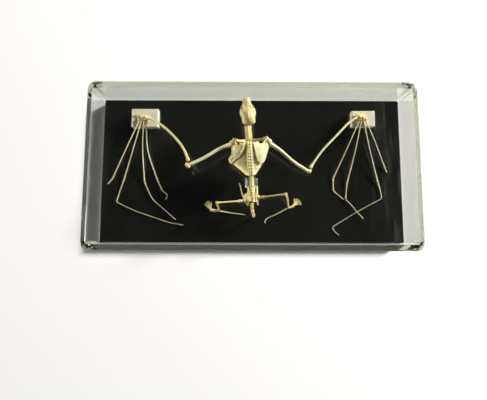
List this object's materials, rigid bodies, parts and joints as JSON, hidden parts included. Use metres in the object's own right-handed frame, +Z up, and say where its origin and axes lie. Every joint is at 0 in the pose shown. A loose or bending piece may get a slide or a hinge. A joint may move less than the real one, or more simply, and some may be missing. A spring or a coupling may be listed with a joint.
{
  "type": "mounted bat skeleton in display case",
  "caption": "Bent-winged bat skeleton, back upwards with half-open folded wings, wrists resting on pale blocks, on a black base under a clear box cover.",
  "frame": {"origin": "on the floor under the middle of the case", "axes": "+X across the wings towards the animal's right wing, +Y towards its head, +Z up out of the base"},
  "size_m": [0.2, 0.101, 0.04],
  "materials": {
    "bone": "dry cleaned bone, satin, pale cream to golden yellow",
    "black_base": "polished black plastic",
    "clear_cover": "clear polished plastic, edges faintly yellow-green",
    "clear_post": "clear polished plastic",
    "cream_blocks": "smooth cream plastic or resin"
  },
  "bodies": {
    "root": {"calcar_left": "bone", "calcar_right": "bone", "case_base": "black_base", "case_cover": "clear_cover", "clavicle_left": "bone", "clavicle_right": "bone", "digit_2_metacarpal_left": "bone", "digit_2_metacarpal_right": "bone", "digit_2_phalanx_1_left": "bone", "digit_2_phalanx_1_right": "bone", "digit_3_metacarpal_left": "bone", "digit_3_metacarpal_right": "bone", "digit_3_phalanx_1_left": "bone", "digit_3_phalanx_1_right": "bone", "digit_3_phalanx_2_left": "bone", "digit_3_phalanx_2_right": "bone", "digit_3_phalanx_3_left": "bone", "digit_3_phalanx_3_right": "bone", "digit_4_metacarpal_left": "bone", "digit_4_metacarpal_right": "bone", "digit_4_phalanx_1_left": "bone", "digit_4_phalanx_1_right": "bone", "digit_4_phalanx_2_left": "bone", "digit_4_phalanx_2_right": "bone", "digit_5_metacarpal_left": "bone", "digit_5_metacarpal_right": "bone", "digit_5_phalanx_1_left": "bone", "digit_5_phalanx_1_right": "bone", "digit_5_phalanx_2_left": "bone", "digit_5_phalanx_2_right": "bone", "femur_left": "bone", "femur_right": "bone", "foot_left": "bone", "foot_right": "bone", "humerus_left": "bone", "humerus_right": "bone", "lumbar_spine": "bone", "mandible": "bone", "neck_vertebrae": "bone", "pelvis": "bone", "post": "clear_post", "radius_left": "bone", "radius_right": "bone", "rib_cage_left": "bone", "rib_cage_right": "bone", "scapula_left": "bone", "scapula_right": "bone", "skull": "bone", "tail": "bone", "thumb_left": "bone", "thumb_right": "bone", "tibia_left": "bone", "tibia_right": "bone", "wrist_block_left": "cream_blocks", "wrist_block_right": "cream_blocks", "wrist_left": "bone", "wrist_right": "bone"}
  },
  "joints": []
}
